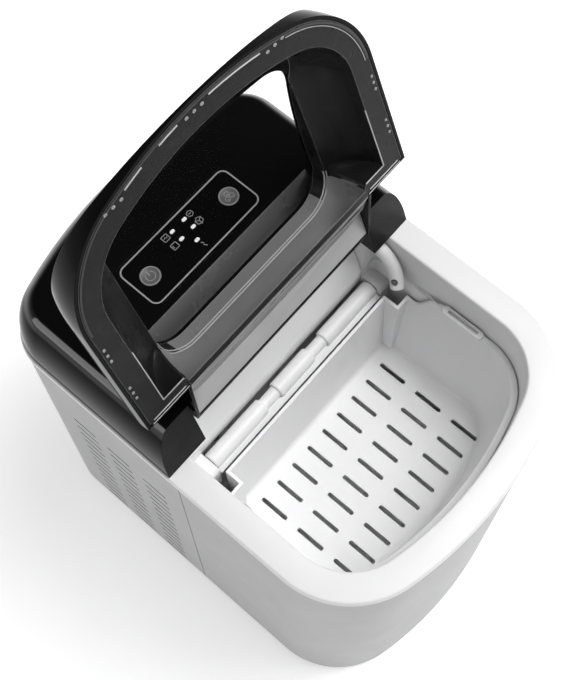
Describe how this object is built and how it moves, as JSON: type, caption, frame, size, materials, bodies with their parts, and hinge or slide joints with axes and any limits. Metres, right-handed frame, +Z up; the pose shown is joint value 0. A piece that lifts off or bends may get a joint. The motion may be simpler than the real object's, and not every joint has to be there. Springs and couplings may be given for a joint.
{
  "type": "countertop ice maker",
  "caption": "Compact countertop ice maker with a hinged window lid standing open, lift-out ice basket, top control panel and side cooling vents.",
  "frame": {"origin": "centre of the footprint on the surface the feet stand on", "axes": "+Z up, the front of the case faces -Y, +X to the machine's own right as seen from the front"},
  "size_m": [0.228, 0.315, 0.5038],
  "materials": {
    "satin_black": "fine matte",
    "case_grey": "fine spark-eroded satin",
    "white_plastic": "satin white",
    "gloss_black": "high gloss",
    "smoke_clear": "smoky translucent",
    "window_clear": "clear tinted",
    "button_grey": "satin grey",
    "led_white": "milky light guide",
    "steel": "plain steel",
    "copper": "drawn copper",
    "aluminium": "mill finish",
    "rubber": "matte",
    "foam": "rigid foam",
    "circuit_green": "coated circuit board",
    "nylon": "natural plastic",
    "compressor_black": "black enamel"
  },
  "bodies": {
    "housing": {"base_plate": "satin_black", "front_shell": "case_grey", "rear_shell": "case_grey", "deck_and_tub": "white_plastic", "tub_insulation": "foam", "foot_front_left": "rubber", "foot_front_right": "rubber", "foot_rear_left": "rubber", "foot_rear_right": "rubber", "rear_cover": "gloss_black", "control_panel": "gloss_black", "led_light_guide": "led_white", "control_board": "circuit_green", "hinge_bush_left": "nylon", "hinge_bush_right": "nylon", "evaporator_cover": "white_plastic", "evaporator": "aluminium", "evaporator_tube": "copper", "tray_gear_motor": "steel", "ice_sensor_arm": "white_plastic", "ice_sensor_window": "satin_black", "water_pump": "satin_black", "fill_hose": "nylon", "drain_hose": "nylon", "drain_socket": "satin_black", "compressor": "compressor_black", "condenser": "aluminium", "fan_shroud": "satin_black", "fan_motor": "steel", "filter_drier": "copper", "hot_gas_valve": "copper", "suction_pipe": "copper", "discharge_pipe": "copper", "power_board": "circuit_green", "cord_gland": "rubber", "compressor_mount_1": "rubber", "compressor_mount_2": "rubber", "compressor_mount_3": "rubber", "compressor_mount_4": "rubber"},
    "lid": {"lid_shell": "gloss_black", "lid_window": "window_clear", "lid_liner": "smoke_clear", "lid_hinge_pin_left": "steel", "lid_hinge_pin_right": "steel"},
    "basket": {"ice_basket": "white_plastic"},
    "power_button": {"power_button": "button_grey"},
    "select_button": {"select_button": "button_grey"},
    "tray": {"water_tray": "white_plastic"},
    "shovel": {"ice_shovel": "white_plastic"},
    "fan": {"fan_blade": "satin_black"},
    "drain_cap": {"drain_cap": "case_grey"}
  },
  "joints": [
    {"name": "lid_hinge", "type": "hinge", "parent": "housing", "child": "lid", "pos_m": [0, 0.0282, 0.3146], "axis": [-1, 0, 0], "range_deg": [-110.7, 0]},
    {"name": "basket_lift", "type": "slide", "parent": "housing", "child": "basket", "axis": [0, 0, 1], "range_m": [0, 0.13]},
    {"name": "power_button_press", "type": "slide", "parent": "housing", "child": "power_button", "axis": [0, 0, -1], "range_m": [0, 0.0008], "stiffness_N_per_m": 600},
    {"name": "select_button_press", "type": "slide", "parent": "housing", "child": "select_button", "axis": [0, 0, -1], "range_m": [0, 0.0008], "stiffness_N_per_m": 600},
    {"name": "tray_tilt", "type": "hinge", "parent": "housing", "child": "tray", "pos_m": [0, 0.038, 0.236], "axis": [1, 0, 0], "range_deg": [0, 60]},
    {"name": "shovel_swing", "type": "hinge", "parent": "housing", "child": "shovel", "pos_m": [0, 0.0005, 0.224], "axis": [-1, 0, 0], "range_deg": [0, 20]},
    {"name": "fan_spin", "type": "hinge", "parent": "housing", "child": "fan", "pos_m": [-0.081, 0.078, 0.064], "axis": [1, 0, 0], "continuous": true},
    {"name": "drain_cap_pull", "type": "slide", "parent": "housing", "child": "drain_cap", "axis": [1, 0, 0], "range_m": [0, 0.014]}
  ],
  "couplings": [
    {"joint": "shovel_swing", "follows": "tray_tilt", "ratio": 0.3333}
  ]
}
